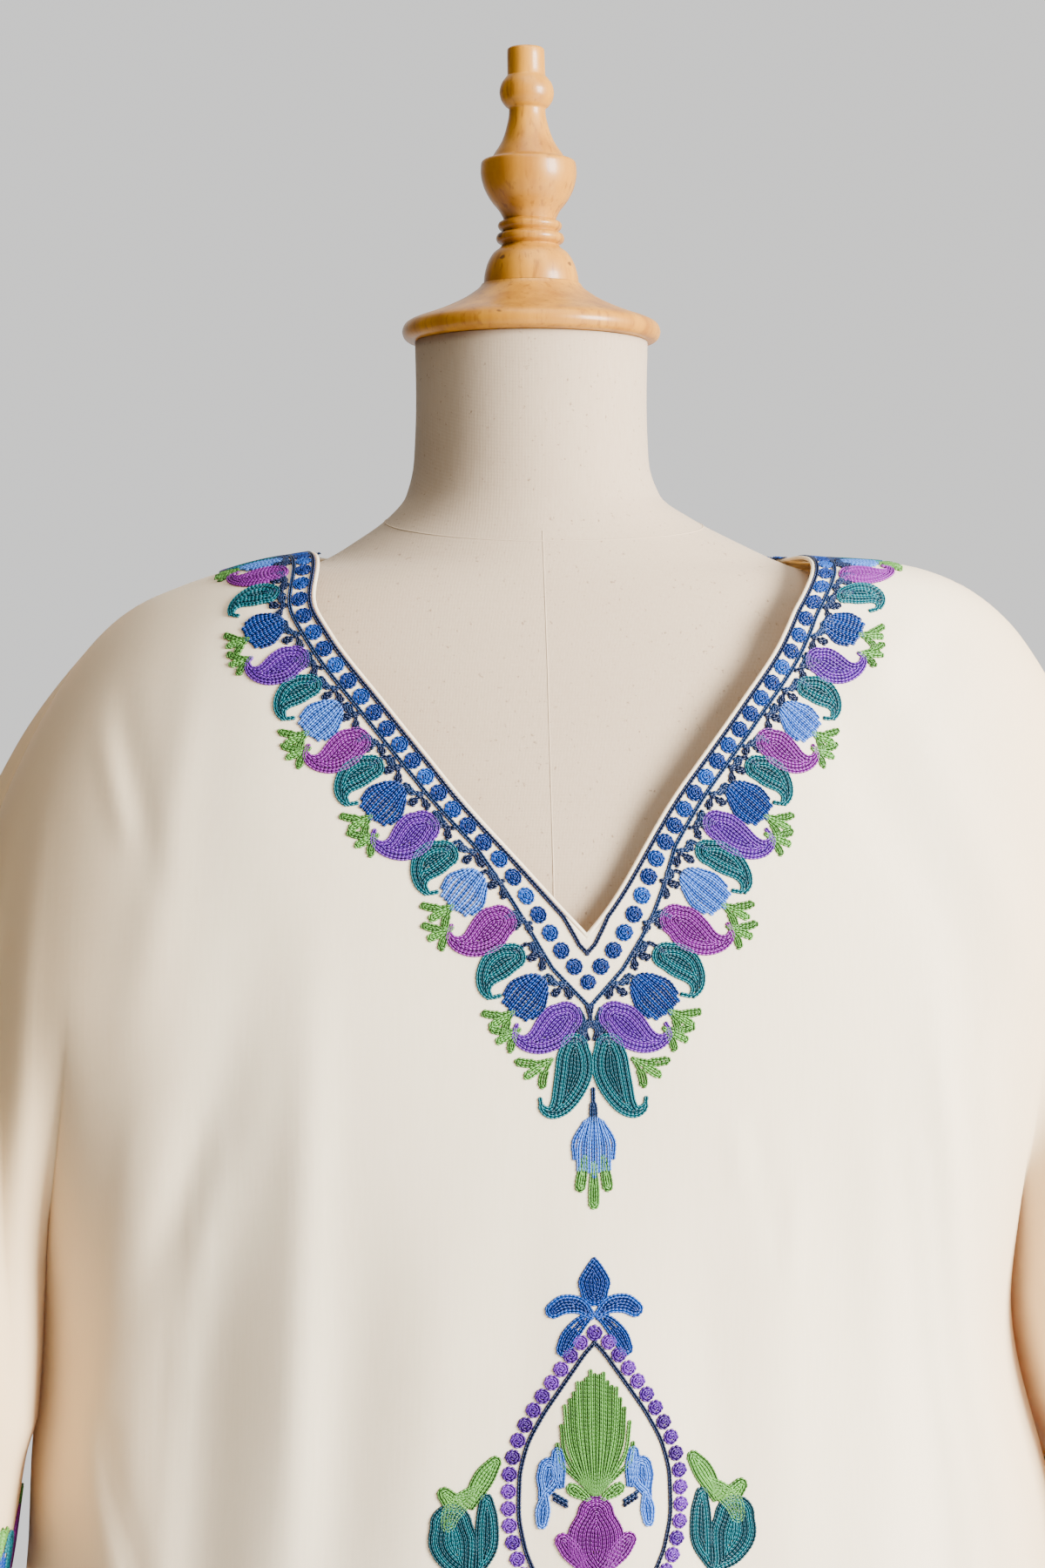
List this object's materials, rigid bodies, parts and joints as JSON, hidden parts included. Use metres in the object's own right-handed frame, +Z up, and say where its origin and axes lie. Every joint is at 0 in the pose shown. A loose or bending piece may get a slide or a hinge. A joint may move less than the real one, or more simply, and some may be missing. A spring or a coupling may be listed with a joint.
{
  "type": "kaftan on a dress form",
  "caption": "Loose V-neck kaftan with wide cut-in-one sleeves, worn open at the cuffs and hem by a limbless dress form with a turned wood neck cap on a round stand",
  "frame": {"origin": "on the floor, in the middle of the object's outline seen from above; the middle of the round base is 9 mm to the -X side of it", "axes": "+Z up from the base to the finial; -Y is the front of the kaftan, where the V neck is; +X is the kaftan's right-hand side as a viewer in front of it sees it"},
  "size_m": [0.6702, 0.38, 1.674],
  "materials": {
    "cream_cotton": "soft plain-woven cream cotton and viscose, matt with a faint sheen",
    "calico": "unbleached calico stretched over the form, matt with small flecks",
    "varnished_wood": "turned light hardwood with a clear satin varnish"
  },
  "bodies": {
    "root": {"front_panel": "cream_cotton", "back_panel": "cream_cotton", "neck_binding": "cream_cotton", "form_torso": "calico", "neck_cap": "varnished_wood", "finial": "varnished_wood", "stand_pole": "varnished_wood", "stand_base": "varnished_wood"}
  },
  "joints": []
}
